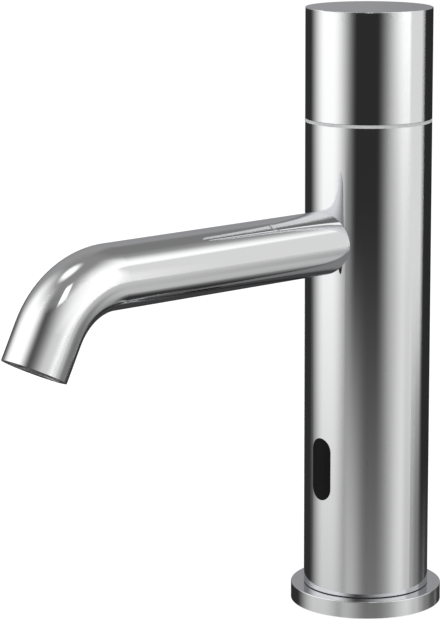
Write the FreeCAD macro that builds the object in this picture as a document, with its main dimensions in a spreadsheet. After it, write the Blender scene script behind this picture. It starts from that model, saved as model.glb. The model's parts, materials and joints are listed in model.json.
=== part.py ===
"""Touchless basin tap on one deck hole: a parametric FreeCAD document.

Row frame in millimetres: +Z up, the origin at the centre of the flange's underside
on the deck, the spout along -Y.  Each sub-part is one object whose Label names its
STEP file.  The sheet Size holds the driving dimensions, the sheet Place the heights
and distances that follow from them.
"""

import FreeCAD, Part
import math
import os
import Sketcher

DRIVING = [
    # column and flange
    ("body_radius", 22.0, "outside of the column and of the head"),
    ("column_wall", 2.2, "wall of the column tube"),
    ("flange_width", 4.6, "column to the rim of the base flange"),
    ("flange_height", 5.9, "deck to the flange's top"),
    ("flange_edge", 0.3, "rounding of the flange's rim"),
    ("flange_fit", 0.12, "gap between the flange and the column's spigot"),
    ("spigot_step", 1.0, "column's outside to its spigot in the flange"),
    ("foot_seal", 0.3, "height of the dark ring between the flange and the column"),
    ("foot_seal_inset", 0.12, "column's outside to that ring"),
    ("lip_height", 3.0, "ledge in the flange that carries the column"),
    ("lip_width", 1.2, "column's bore to the opening of that ledge"),
    ("gasket_inset", 1.4, "flange's rim to the deck gasket"),
    ("gasket_width", 2.8, "width of the deck gasket"),
    ("gasket_height", 1.5, "thickness of the pressed gasket"),
    ("gasket_fit", 0.1, "side play of the gasket in its groove"),
    # glide ring and head
    ("ring_height", 1.1, "visible band between column and head"),
    ("ring_collar", 2.8, "part of the glide ring inside the column"),
    ("ring_wall", 2.1, "wall of that part"),
    ("head_gap", 0.1, "running gap under the head"),
    ("head_height", 38.0, "head's lower edge to the flat top"),
    ("head_wall", 1.6, "side wall of the head shell"),
    ("head_top_wall", 3.0, "top of the head shell"),
    ("head_edge", 0.3, "rounding of the head's upper rim"),
    ("skirt_wall", 2.3, "skirt of the head carrier"),
    ("skirt_lift", 2.0, "head's lower edge to the carrier's"),
    ("web_height", 3.0, "thickness of the carrier's web"),
    ("web_drop", 6.0, "inside of the head's top down to the web"),
    ("hub_radius", 8.0, "outside of the carrier's hub"),
    ("hub_drop", 17.0, "length of the hub below the web"),
    ("head_grub_radius", 1.5, "grub screw that holds the head shell"),
    ("head_grub_length", 3.4, "length of that screw"),
    ("head_grub_rise", 6.0, "height of that screw above the head's edge"),
    # spout
    ("spout_height", 130.5, "deck to the spout's axis"),
    ("spout_radius", 11.0, "outside of the spout tube"),
    ("spout_wall", 1.5, "wall of the spout tube"),
    ("spout_straight", 115.4, "column's axis to the start of the bend"),
    ("bend_radius", 27.3, "bend of the spout's centre line"),
    ("bend_angle", 63.1, "turn of the bend in degrees"),
    ("tip_margin", 1.0, "end of the bend to the aerator's sleeve"),
    ("braze_gap", 0.03, "joint between the spout and the column"),
    # water way in the spout
    ("sleeve_fit", 0.08, "gap of a piece inside the spout tube"),
    ("adapter_grip", 14.0, "length of the adapter inside the spout"),
    ("adapter_wall", 3.0, "end wall of the adapter"),
    ("barb_length", 7.0, "hose barb of the adapter"),
    ("hose_radius", 4.5, "outside of the outlet hose"),
    ("hose_bore", 3.0, "inside of the outlet hose"),
    ("hose_fit", 0.05, "gap between a barb and its hose"),
    ("barb_bore", 2.2, "water way of a barb"),
    ("nose_step", 1.57, "shoulder of the adapter's nose"),
    ("nose_length", 5.0, "length of that nose"),
    ("nose_bore", 4.5, "water way of the nose"),
    ("nose_play", 0.35, "free end of the nose in its socket"),
    ("nose_oring_setback", 1.6, "tip of the nose to its O-ring"),
    ("adapter_seat", 2.6, "outside of the valve block to the adapter's shoulder"),
    # aerator, measured inward from the mouth
    ("aerator_recess", 0.5, "mouth to the aerator's face"),
    ("aerator_collar", 1.7, "collar of the aerator in front of the sleeve"),
    ("sleeve_wall", 1.17, "wall of the threaded sleeve"),
    ("thread_depth", 8.0, "length of the aerator thread"),
    ("sleeve_web", 1.0, "floor of the sleeve"),
    ("sleeve_skirt", 1.5, "sleeve beyond its floor"),
    ("sleeve_barb", 2.6, "hose barb of the sleeve"),
    ("aerator_fit", 0.1, "gap around the aerator"),
    ("aerator_seal", 1.2, "seal between the aerator and the sleeve's floor"),
    ("aerator_wall", 1.6, "wall of the aerator"),
    ("key_width", 2.4, "key notches of the aerator"),
    ("key_depth", 1.4, "depth of those notches"),
    ("screen_depth", 1.0, "aerator's face to its screen"),
    ("screen_height", 1.6, "thickness of the screen"),
    ("grid_pitch", 2.1, "pitch of a strainer's bars"),
    ("grid_bar", 0.6, "width of those bars"),
    ("grid_rim", 0.8, "rim of a strainer"),
    # base block
    ("block_fit", 0.1, "gap between a block and the column's bore"),
    ("base_block_height", 19.0, "height of the base block"),
    ("riser_x", 8.0, "water tubes beside the middle plane"),
    ("inlet_wall", 2.28, "least wall outside a water inlet"),
    ("riser_radius", 4.0, "outside of a water tube"),
    ("riser_bore", 3.0, "inside of a water tube"),
    ("riser_fit", 0.1, "gap of a water tube in its socket"),
    ("inlet_radius", 5.0, "M10x1 water inlet"),
    ("inlet_depth", 9.0, "length of that thread"),
    ("inlet_shoulder", 2.0, "inlet thread to the tube's socket"),
    ("riser_insert", 11.5, "water tube inside the valve block"),
    ("oring_radius", 0.65, "section of a small O-ring"),
    ("oring_play", 0.05, "gap around an O-ring"),
    ("oring_rise", 4.0, "socket's floor to the O-ring"),
    ("groove_ratio", 1.3, "half an O-ring groove over the ring's section"),
    ("filter_height", 1.0, "thickness of an inlet filter"),
    ("filter_step", 0.3, "inlet thread to the edge of its filter"),
    ("stud_x", 12.0, "stud holes beside the middle plane"),
    ("stud_y", -6.0, "stud holes in front of the axis"),
    ("stud_radius", 3.0, "M6 stud hole"),
    ("stud_depth", 12.0, "length of that thread"),
    ("column_grub_radius", 2.0, "grub screw that holds the column"),
    ("column_grub_height", 13.0, "height of that screw"),
    ("column_grub_length", 8.0, "length of that screw"),
    ("screw_play", 0.05, "gap around a screw in its hole"),
    ("grub_sink", 0.3, "screw's end below the chrome"),
    ("hex_ratio", 0.6, "socket of a grub screw over its shank"),
    ("hex_depth_ratio", 1.2, "depth of that socket over the shank"),
    ("cut_run", 1.0, "how far a cut runs past its face"),
    ("base_oring_drop", 3.0, "top of the base block to its O-ring"),
    ("base_oring_radius", 0.75, "section of that O-ring"),
    ("gland_wall", 4.7, "outside of the base block to the cable's way"),
    ("gland_radius", 4.0, "bore of the cable gland"),
    ("gland_collar", 5.2, "collar of the gland"),
    ("collar_height", 1.4, "thickness of that collar"),
    ("lead_radius", 1.5, "sensor lead"),
    ("coil_lead_radius", 1.2, "lead of the solenoid"),
    # sensor
    ("window_height", 22.2, "height of the sensor window"),
    ("window_width", 8.9, "width of the sensor window"),
    ("window_centre", 50.5, "deck to the window's centre"),
    ("window_fit", 0.06, "gap around the window"),
    ("window_rim", 1.4, "rim of the window behind the wall"),
    ("window_depth", 1.8, "thickness of that rim"),
    ("housing_width", 14.4, "width of the sensor housing"),
    ("housing_margin", 5.4, "window's end to the housing's end"),
    ("seal_depth", 1.54, "window's rim to the housing's front"),
    ("housing_depth", 9.9, "housing from front to back"),
    ("housing_wall", 1.4, "side walls of the housing"),
    ("housing_end", 3.4, "end walls of the housing"),
    ("board_setback", 5.4, "housing's front to the board"),
    ("board_height", 1.2, "thickness of the board"),
    ("board_ledge", 0.6, "ledge that the board lies on"),
    ("board_fit", 0.1, "play of the board"),
    ("led_radius", 2.5, "emitter and receiver"),
    ("led_spacing", 12.0, "emitter to receiver"),
    ("led_length", 4.9, "board to the tip of the emitter"),
    ("cover_height", 1.2, "back cover of the housing"),
    ("bracket_sheet", 1.2, "sheet of the sensor bracket"),
    ("bracket_width", 7.0, "width of that bracket"),
    ("bracket_foot", 8.5, "foot of the bracket on the base block"),
    ("sensor_screw_radius", 0.9, "screws of the sensor housing"),
    ("sensor_screw_length", 7.0, "length of those screws"),
    ("bracket_screw_radius", 1.5, "screw of the bracket"),
    ("bracket_screw_length", 8.0, "length of that screw"),
    ("screw_head_ratio", 1.75, "screw head over its shank"),
    ("screw_head_height", 1.6, "height of a small screw head"),
    ("drive_ratio", 0.8, "socket of a screw head over the shank"),
    # valve block
    ("valve_drop", 22.5, "spout's axis down to the diaphragm face"),
    ("cup_rise", 15.5, "spout's axis up to the cartridge's seat"),
    ("cup_depth", 24.8, "cartridge's seat to the column's upper end"),
    ("cup_gap", 0.3, "top of the cup to the glide ring"),
    ("cup_wall", 2.6, "wall around the cartridge"),
    ("seat_bore", 4.0, "outlet through the valve seat"),
    ("seat_lip", 1.3, "width of the valve seat"),
    ("chamber_radius", 9.6, "annular inlet chamber"),
    ("chamber_depth", 3.5, "height of that chamber"),
    ("feed_x", 8.0, "hot and cold channels beside the middle"),
    ("feed_shift", 4.9, "channels in front of the water tubes"),
    ("feed_radius", 2.5, "hot and cold channels"),
    ("feed_overlap", 3.0, "channel's start below the socket's end"),
    ("mixed_radius", 2.0, "mixed water channel"),
    # cartridge
    ("cartridge_fit", 0.1, "gap around the cartridge"),
    ("foot_height", 3.0, "cartridge base"),
    ("foot_step", 1.6, "step of the base inside the housing"),
    ("cartridge_wall", 2.9, "side wall of the cartridge housing"),
    ("disc_height", 3.0, "each ceramic disc"),
    ("lower_disc_gap", 0.3, "gap around the fixed disc"),
    ("upper_disc_gap", 1.6, "gap around the turning disc"),
    ("mix_radius", 7.2, "mixing pocket of the turning disc"),
    ("mix_y", 2.5, "offset of that pocket"),
    ("mix_depth", 1.6, "depth of that pocket"),
    ("stem_disc", 3.2, "disc at the stem's foot"),
    ("washer_height", 1.5, "thrust washer"),
    ("washer_gap", 0.1, "running gap under the washer"),
    ("cartridge_top_wall", 4.0, "top of the cartridge housing"),
    ("neck_radius", 8.0, "neck of the cartridge housing"),
    ("neck_height", 4.0, "length of that neck"),
    ("stem_radius", 5.0, "stem"),
    ("stem_fit", 0.15, "running gap around the stem"),
    ("stem_flat", 4.0, "half width over the stem's flats"),
    ("stem_flat_run", 0.5, "flats below the hub"),
    ("spline_fit", 0.06, "gap between the stem and the hub"),
    ("stem_oring_rise", 1.8, "foot of the neck to its O-ring"),
    ("stem_oring_radius", 0.7, "section of that O-ring"),
    ("port_seal_wall", 1.6, "wall of a port seal"),
    ("port_seal_height", 1.2, "height of a port seal"),
    ("seal_play", 0.1, "play of a seal in its seat"),
    ("nut_height", 2.9, "clamp nut"),
    ("nut_slot", 3.0, "slots of the clamp nut"),
    ("nut_gap", 0.3, "nut to the neck"),
    ("stop_wall", 3.4, "stop ring"),
    ("stop_height", 3.0, "height of the stop ring"),
    ("stop_lug", 4.0, "width of the stop ring's lug"),
    ("stop_reach", 3.0, "length of that lug"),
    ("carrier_screw_radius", 2.0, "screw in the stem"),
    ("carrier_screw_length", 10.0, "length of that screw"),
    ("carrier_head_height", 2.6, "head of that screw"),
    # solenoid valve, on its own axis
    ("membrane_height", 1.4, "clamped rim of the membrane"),
    ("membrane_skin", 0.6, "thin part of the membrane"),
    ("core_radius", 6.9, "stiff middle of the diaphragm"),
    ("core_height", 1.6, "thickness of that middle"),
    ("pilot_radius", 0.5, "pilot hole"),
    ("pilot_chamber", 3.0, "chamber under the membrane"),
    ("flange_grip", 1.8, "chamber to the rim of the solenoid body's flange"),
    ("flange_floor", 1.0, "floor of that flange"),
    ("guide_bore", 4.0, "guide tube of the plunger"),
    ("guide_wall", 1.0, "wall of that tube"),
    ("guide_length", 16.6, "length of the tube below the flange"),
    ("guide_floor", 1.5, "closed end of the tube"),
    ("plunger_fit", 0.07, "running gap of the plunger"),
    ("plunger_travel", 1.7, "fixed pole to the plunger"),
    ("plunger_pad", 0.8, "rubber pad on the plunger"),
    ("pad_radius", 1.8, "radius of that pad"),
    ("pole_height", 3.0, "fixed pole"),
    ("pocket_radius", 2.3, "spring pocket of the plunger"),
    ("pocket_depth", 6.8, "depth of that pocket"),
    ("spring_wire", 0.25, "half the spring's wire"),
    ("spring_radius", 1.8, "spring's coil"),
    ("spring_turns", 7.0, "turns of the spring"),
    ("ear_gap", 0.175, "flange to the heads of its screws"),
    ("ear_half_width", 2.4, "ears of the solenoid body"),
    ("ear_height", 3.0, "thickness of those ears"),
    ("valve_screw_radius", 1.5, "screws of the solenoid body"),
    ("valve_screw_length", 9.5, "length of those screws"),
    ("bobbin_wall", 0.8, "tube of the coil bobbin"),
    ("bobbin_flange", 1.0, "flanges of the bobbin"),
    ("winding_gap", 0.4, "bobbin's rim to the winding"),
    ("coil_fit", 0.1, "gaps in the coil"),
    ("case_wall", 0.9, "steel case of the coil"),
    ("case_radius", 10.6, "outside of that case"),
    ("case_floor", 1.0, "floor of that case"),
    ("case_clearance", 1.2, "case to the column's bore"),
]

FOLLOWING = [
    # across
    ("column_bore", "Size.body_radius - Size.column_wall"),
    ("block_radius", "Place.column_bore - Size.block_fit"),
    ("flange_radius", "Size.body_radius + Size.flange_width"),
    ("gasket_outer", "Place.flange_radius - Size.gasket_inset"),
    ("gasket_inner", "Place.gasket_outer - Size.gasket_width"),
    ("lip_radius", "Place.column_bore - Size.lip_width"),
    ("spigot_radius", "Size.body_radius - Size.spigot_step"),
    ("column_foot", "Size.flange_height + Size.foot_seal"),
    ("ring_bore", "Place.block_radius - Size.ring_wall"),
    ("head_bore", "Size.body_radius - Size.head_wall"),
    ("skirt_radius", "Place.head_bore - Size.block_fit"),
    # valve block and head, upward from the spout's axis
    ("valve_block_bottom", "Size.spout_height - Size.valve_drop"),
    ("cup_floor", "Size.spout_height + Size.cup_rise"),
    ("column_top", "Place.cup_floor + Size.cup_depth"),
    ("cup_top", "Place.column_top - Size.ring_collar - Size.cup_gap"),
    ("ring_top", "Place.column_top + Size.ring_height"),
    ("head_bottom", "Place.ring_top + Size.head_gap"),
    ("tap_height", "Place.head_bottom + Size.head_height"),
    ("head_ceiling", "Place.tap_height - Size.head_top_wall"),
    ("skirt_bottom", "Place.head_bottom + Size.skirt_lift"),
    ("web_top", "Place.head_ceiling - Size.web_drop"),
    ("web_bottom", "Place.web_top - Size.web_height"),
    ("hub_bottom", "Place.web_bottom - Size.hub_drop"),
    ("head_grub_height", "Place.head_bottom + Size.head_grub_rise"),
    # spout and water way
    ("spout_bore", "Size.spout_radius - Size.spout_wall"),
    ("adapter_radius", "Place.spout_bore - Size.sleeve_fit"),
    ("adapter_depth", "Place.block_radius - Size.adapter_seat"),
    ("adapter_end", "Size.body_radius + Size.adapter_grip"),
    ("nose_radius", "Place.adapter_radius - Size.nose_step"),
    ("nose_tip", "Place.adapter_depth - Size.nose_length"),
    ("nose_oring_depth", "Place.nose_tip + Size.nose_oring_setback"),
    ("barb_radius", "Size.hose_bore - Size.hose_fit"),
    ("thread_radius", "Place.adapter_radius - Size.sleeve_wall"),
    ("aerator_radius", "Place.thread_radius - Size.aerator_fit"),
    ("collar_back", "Size.aerator_recess + Size.aerator_collar"),
    ("sleeve_floor", "Size.aerator_recess + Size.thread_depth"),
    ("aerator_back", "Place.sleeve_floor - Size.aerator_seal"),
    ("hose_end", "Place.sleeve_floor + Size.sleeve_web"),
    ("tip_straight", "Place.hose_end + Size.sleeve_barb + Size.tip_margin"),
    ("turn", "Size.bend_angle * 1 deg"),
    ("mouth_reach", "Size.spout_straight + Size.bend_radius * sin(Place.turn)"
                    " + Place.tip_straight * cos(Place.turn)"),
    ("mouth_height", "Size.spout_height - Size.bend_radius * (1 - cos(Place.turn))"
                     " - Place.tip_straight * sin(Place.turn)"),
    # base block and risers
    ("base_block_top", "Size.lip_height + Size.base_block_height"),
    ("inlet_top", "Size.lip_height + Size.inlet_depth"),
    ("filter_radius", "Size.inlet_radius - Size.filter_step"),
    ("riser_foot", "Place.inlet_top + Size.inlet_shoulder"),
    ("riser_head", "Place.valve_block_bottom + Size.riser_insert"),
    ("riser_circle", "Place.block_radius - Size.inlet_wall - Size.inlet_radius"),
    ("riser_y", "sqrt(Place.riser_circle ^ 2 - Size.riser_x ^ 2)"),
    ("feed_y", "Place.riser_y - Size.feed_shift"),
    ("socket_radius", "Size.riser_radius + Size.riser_fit"),
    ("oring_ring", "Size.riser_radius + Size.oring_play + Size.oring_radius"),
    ("lower_oring_height", "Place.riser_foot + Size.oring_rise"),
    ("upper_oring_height", "Place.riser_head - Size.oring_rise"),
    ("base_oring_height", "Place.base_block_top - Size.base_oring_drop"),
    ("gland_y", "Size.gland_radius + Size.gland_wall - Place.block_radius"),
    ("column_grub_tip", "Size.body_radius - Size.grub_sink - Size.column_grub_length"
                        " - Size.screw_play"),
    # sensor
    ("window_bottom", "Size.window_centre - Size.window_height / 2"),
    ("rim_radius", "Place.column_bore - Size.window_fit"),
    ("rim_inside", "Place.rim_radius - Size.window_depth"),
    ("housing_height", "Size.window_height + 2 * Size.housing_margin"),
    ("housing_top", "Size.window_centre + Place.housing_height / 2"),
    ("housing_bottom", "Size.window_centre - Place.housing_height / 2"),
    ("housing_front", "Place.rim_inside - Size.seal_depth"),
    ("housing_back", "Place.housing_front - Size.housing_depth"),
    ("cover_back", "Place.housing_back - Size.cover_height"),
    ("bracket_back", "Place.cover_back - Size.bracket_sheet"),
    ("bracket_screw_y", "(Size.bracket_foot - Place.cover_back - Place.bracket_back) / 2"),
    ("screw_rise", "(Place.housing_height - Size.housing_end) / 2"),
    ("sensor_hole", "Size.sensor_screw_radius + Size.screw_play"),
    ("board_depth", "Place.housing_front - Size.board_setback"),
    ("board_half", "Size.housing_width / 2 - Size.housing_wall"),
    # cartridge
    ("cup_radius", "Place.block_radius - Size.cup_wall"),
    ("cartridge_radius", "Place.cup_radius - Size.cartridge_fit"),
    ("cartridge_bore", "Place.cartridge_radius - Size.cartridge_wall"),
    ("lower_disc_radius", "Place.cartridge_bore - Size.lower_disc_gap"),
    ("upper_disc_radius", "Place.cartridge_bore - Size.upper_disc_gap"),
    ("housing_foot", "Place.cup_floor + Size.foot_height"),
    ("lower_disc_foot", "Place.housing_foot + Size.foot_step"),
    ("upper_disc_foot", "Place.lower_disc_foot + Size.disc_height"),
    ("stem_foot", "Place.upper_disc_foot + Size.disc_height"),
    ("stem_disc_top", "Place.stem_foot + Size.stem_disc"),
    ("washer_foot", "Place.stem_disc_top + Size.washer_gap"),
    ("cartridge_ceiling", "Place.washer_foot + Size.washer_height"),
    ("cartridge_top", "Place.cartridge_ceiling + Size.cartridge_top_wall"),
    ("neck_top", "Place.cartridge_top + Size.neck_height"),
    ("nut_top", "Place.cartridge_top + Size.nut_height"),
    ("stem_top", "Place.web_bottom - Size.head_gap"),
    ("stem_bore", "Size.stem_radius + Size.stem_fit"),
    # solenoid valve
    ("valve_y", "Size.case_radius + Size.case_clearance - Place.column_bore"),
    ("seat_outside", "Size.seat_bore + Size.seat_lip"),
    ("mixed_y", "Place.valve_y + (Place.seat_outside + Size.chamber_radius) / 2"),
    ("valve_flange", "Size.chamber_radius + Size.flange_grip"),
    ("ear_x", "Place.valve_flange + Size.ear_gap"
              " + Size.valve_screw_radius * Size.screw_head_ratio"),
    ("flange_face", "Place.valve_block_bottom - Size.membrane_height"),
    ("chamber_floor", "Place.flange_face - Size.pilot_chamber"),
    ("valve_flange_bottom", "Place.chamber_floor - Size.flange_floor"),
    ("guide_bottom", "Place.valve_flange_bottom - Size.guide_length"),
    ("guide_inside", "Place.guide_bottom + Size.guide_floor"),
    ("guide_radius", "Size.guide_bore + Size.guide_wall"),
    ("core_bottom", "Place.valve_block_bottom - Size.core_height"),
    ("plunger_top", "Place.core_bottom - Size.plunger_pad"),
    ("pole_top", "Place.guide_inside + Size.pole_height"),
    ("plunger_bottom", "Place.pole_top + Size.plunger_travel"),
    ("case_bottom", "Place.guide_bottom - Size.case_floor"),
    ("bobbin_radius", "Size.case_radius - Size.case_wall - Size.coil_fit"),
    ("coil_inside", "Place.guide_radius + Size.coil_fit + Size.bobbin_wall"),
    ("coil_radius", "Place.bobbin_radius - Size.winding_gap"),
]

UP = FreeCAD.Rotation()
FORWARD = FreeCAD.Rotation(FreeCAD.Vector(1, 0, 0), 90)
BACKWARD = FreeCAD.Rotation(FreeCAD.Vector(1, 0, 0), -90)
DOWN = FreeCAD.Rotation(FreeCAD.Vector(1, 0, 0), 180)
SIDE_PLANE = FreeCAD.Rotation(
    FreeCAD.Vector(0, -1, 0), FreeCAD.Vector(0, 0, 1), FreeCAD.Vector(-1, 0, 0), "ZXY"
)

doc = FreeCAD.newDocument("sensor_tap")
size = doc.addObject("Spreadsheet::Sheet", "Size")
for row, (alias, number, note) in enumerate(DRIVING, start=1):
    size.set(f"A{row}", alias)
    size.set(f"B{row}", str(number))
    size.set(f"C{row}", note)
    size.setAlias(f"B{row}", alias)
doc.recompute()
place = doc.addObject("Spreadsheet::Sheet", "Place")
for row, (alias, formula) in enumerate(FOLLOWING, start=1):
    place.set(f"A{row}", alias)
    place.setAlias(f"B{row}", alias)
    place.set(f"B{row}", "=" + formula.replace("Place.", ""))
doc.recompute()

nodes = []

# bars on each side of a strainer's middle bar
GRID_BARS = 3

# an edge is a turned body's rim when this many spots along it are this near to it, in mm
EDGE_SPOTS = 7
EDGE_TOLERANCE = 0.01


def value(formula):
    """The number that a formula gives with the sheets' present values."""
    result = size.evalExpression(formula)
    return float(getattr(result, "Value", result))


def bind(thing, **formulas):
    """Binds properties of an object to formulas."""
    for prop, formula in formulas.items():
        thing.setExpression(prop, formula)


def put(thing, x, y, z, turned_to=UP):
    """Turns an object and binds its place to formulas."""
    thing.Placement = FreeCAD.Placement(FreeCAD.Vector(), turned_to)
    for axis, formula in zip("xyz", (x, y, z)):
        thing.setExpression("Placement.Base." + axis, formula)
    return thing


def node(thing, label):
    """Makes an object one of the tap's sub-parts."""
    thing.Label = label
    nodes.append(thing)
    return thing


def rod(name, radius, length, x="0", y="0", z="0", turned_to=UP):
    thing = doc.addObject("Part::Cylinder", name)
    bind(thing, Radius=radius, Height=length)
    return put(thing, x, y, z, turned_to)


def brick(name, xs, ys, zs):
    """A box between two formulas on each axis."""
    thing = doc.addObject("Part::Box", name)
    for prop, (low, high) in zip(("Length", "Width", "Height"), (xs, ys, zs)):
        thing.setExpression(prop, f"({high}) - ({low})")
    return put(thing, xs[0], ys[0], zs[0])


def torus(name, ring, section, x="0", y="0", z="0", turned_to=UP):
    thing = doc.addObject("Part::Torus", name)
    bind(thing, Radius1=ring, Radius2=section)
    return put(thing, x, y, z, turned_to)


def joined(name, things, refine=True):
    if len(things) == 1:
        return things[0]
    thing = doc.addObject("Part::MultiFuse", name)
    thing.Shapes = things
    thing.Refine = refine
    return thing


def together(name, things):
    """Several equal pieces in one node."""
    thing = doc.addObject("Part::Compound", name)
    thing.Links = things
    return thing


def less(name, base, tools):
    """The base with the tools taken away."""
    thing = doc.addObject("Part::Cut", name)
    thing.Base = base
    thing.Tool = joined(name + "_tools", tools, refine=False)
    thing.Refine = True
    return thing


def shared(name, one, other):
    thing = doc.addObject("Part::Common", name)
    thing.Base = one
    thing.Tool = other
    return thing


def pin_point(sketch, index, x, y, vertex=1):
    """Fixes an end of a sketch edge at two formulas."""
    for kind, axis, formula in (("DistanceX", -2, x), ("DistanceY", -1, y)):
        if formula == "0":
            sketch.addConstraint(Sketcher.Constraint("PointOnObject", index, vertex, axis))
            continue
        number = sketch.addConstraint(
            Sketcher.Constraint(kind, -1, 1, index, vertex, value(formula))
        )
        sketch.setExpression(f"Constraints[{number}]", formula)


def turned(name, profile, x="0", y="0", z="0", turned_to=UP):
    """A body turned about its own Z axis from (radius, height) formulas."""
    body = doc.addObject("PartDesign::Body", name)
    sketch = body.newObject("Sketcher::SketchObject", name + "_profile")
    plane = [f for f in body.Origin.OriginFeatures if f.Role == "XZ_Plane"][0]
    sketch.AttachmentSupport = (plane, [""])
    sketch.MapMode = "FlatFace"
    corners = [FreeCAD.Vector(value(r), value(h), 0) for r, h in profile]
    for here, there in zip(corners, corners[1:] + corners[:1]):
        sketch.addGeometry(Part.LineSegment(here, there), False)
    for index in range(len(profile)):
        following = (index + 1) % len(profile)
        sketch.addConstraint(Sketcher.Constraint("Coincident", index, 2, following, 1))
    for index, (radius, height) in enumerate(profile):
        pin_point(sketch, index, radius, height)
    turning = body.newObject("PartDesign::Revolution", name + "_turn")
    turning.Profile = sketch
    turning.ReferenceAxis = (sketch, ["V_Axis"])
    turning.Angle = 360
    sketch.Visibility = False
    return put(body, x, y, z, turned_to)


def round_rim(body, radius, height, width):
    """Rounds the rim that a turned body has at a radius and a height."""
    doc.recompute()
    tip = body.Tip
    rims = [
        f"Edge{number}"
        for number, edge in enumerate(tip.Shape.Edges, start=1)
        if all(
            abs(math.hypot(spot.x, spot.y) - value(radius)) < EDGE_TOLERANCE
            and abs(spot.z - value(height)) < EDGE_TOLERANCE
            for spot in edge.discretize(EDGE_SPOTS)
        )
    ]
    rounding = body.newObject("PartDesign::Fillet", body.Name + "_rim")
    rounding.Base = (tip, rims)
    bind(rounding, Radius=width)
    return body


def ring(name, inside, outside, low, high, **where):
    """A plain turned ring between two radii and two heights."""
    profile = [(inside, low), (outside, low), (outside, high), (inside, high)]
    return turned(name, profile, **where)


def slot(name, width, height, centre, depths):
    """An upright obround prism along Y."""
    near, far = depths
    half = f"({width}) / 2"
    straight = f"(({height}) - ({width})) / 2"
    middle = brick(
        name + "_middle",
        (f"-({half})", half),
        (near, far),
        (f"({centre}) - ({straight})", f"({centre}) + ({straight})"),
    )
    ends = [
        rod(f"{name}_end_{tag}", half, f"({far}) - ({near})", "0", far,
            f"({centre}) {sign} ({straight})", FORWARD)
        for tag, sign in (("top", "+"), ("bottom", "-"))
    ]
    return joined(name, [middle] + ends)


def before_mouth(depth):
    """Formulas of the reach and the height at a depth inside the mouth."""
    return (
        f"Place.mouth_reach - ({depth}) * cos(Place.turn)",
        f"Place.mouth_height + ({depth}) * sin(Place.turn)",
    )


def spout_line(name, start, depth):
    """The spout's centre line from a distance in front of the column's axis to a
    depth inside the mouth: a run, the bend and the straight tip."""
    sketch = doc.addObject("Sketcher::SketchObject", name)
    sketch.Placement = FreeCAD.Placement(FreeCAD.Vector(), SIDE_PLANE)
    height = value("Size.spout_height")
    radius = FreeCAD.Vector(0, value("Size.bend_radius"), 0)
    bend_start = FreeCAD.Vector(value("Size.spout_straight"), height, 0)
    centre = bend_start - radius
    middle, bend_end = (
        centre + FreeCAD.Rotation(FreeCAD.Vector(0, 0, 1), -angle).multVec(radius)
        for angle in (value("Place.turn") / 2, value("Place.turn"))
    )
    end = FreeCAD.Vector(*(value(formula) for formula in before_mouth(depth)), 0)
    sketch.addGeometry(
        Part.LineSegment(FreeCAD.Vector(value(start), height, 0), bend_start), False
    )
    sketch.addGeometry(Part.Arc(bend_start, middle, bend_end), False)
    sketch.addGeometry(Part.LineSegment(bend_end, end), False)
    # a sketch counts an arc's ends counter-clockwise, so the bend starts at its second
    sketch.addConstraint(Sketcher.Constraint("Tangent", 0, 2, 1, 2))
    sketch.addConstraint(Sketcher.Constraint("Tangent", 1, 1, 2, 1))
    pin_point(sketch, 0, start, "Size.spout_height")
    pin_point(sketch, 2, *before_mouth(depth), 2)
    for constraint, formula in (
        (Sketcher.Constraint("DistanceX", -1, 1, 0, 2, bend_start.x), "Size.spout_straight"),
        (Sketcher.Constraint("Radius", 1, radius.y), "Size.bend_radius"),
    ):
        number = sketch.addConstraint(constraint)
        sketch.setExpression(f"Constraints[{number}]", formula)
    return sketch


def along(name, radius, line, start):
    """A round bar along a centre line that starts at a distance in front of the axis."""
    circle = doc.addObject("Part::Circle", name + "_section")
    bind(circle, Radius=radius)
    put(circle, "0", f"-({start})", "Size.spout_height", FORWARD)
    thing = doc.addObject("Part::Sweep", name)
    thing.Sections = [circle]
    thing.Spine = (line, ["Edge1", "Edge2", "Edge3"])
    thing.Solid = True
    return thing


def at_mouth(thing):
    """Stands an object on the spout's mouth, its Z axis pointing into the spout."""
    reach, height = "Place.mouth_reach", "Place.mouth_height"
    tilt = FreeCAD.Rotation(FreeCAD.Vector(-1, 0, 0), 90 - value("Place.turn"))
    put(thing, "0", f"-{reach}", height, tilt)
    thing.setExpression("Placement.Rotation.Angle", "90 deg - Place.turn")
    return thing


def grub(name, radius, outside, length, height):
    """A grub screw at the back, its socket open to the outside."""
    shank = rod(name + "_shank", radius, length, "0", outside, height, FORWARD)
    socket = doc.addObject("Part::Prism", name + "_socket")
    bind(socket, Circumradius=f"({radius}) * Size.hex_ratio",
         Height=f"({radius}) * Size.hex_depth_ratio")
    put(socket, "0", outside, height, FORWARD)
    return node(less(name, shank, [socket]), name)


def pan_screw(name, radius, length, head_height, x, y, z, turned_to=UP):
    """A pan head screw whose shank starts at a place and points along its own Z."""
    head = f"({radius}) * Size.screw_head_ratio"
    socket = f"({radius}) * Size.drive_ratio"
    floor = f"-({head_height}) / 2"
    return turned(name, [
        ("0", length),
        (radius, length),
        (radius, "0"),
        (head, "0"),
        (head, f"-({head_height})"),
        (socket, f"-({head_height})"),
        (socket, floor),
        ("0", floor),
    ], x, y, z, turned_to)


# ---------------------------------------------------------------- column and flange


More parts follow.
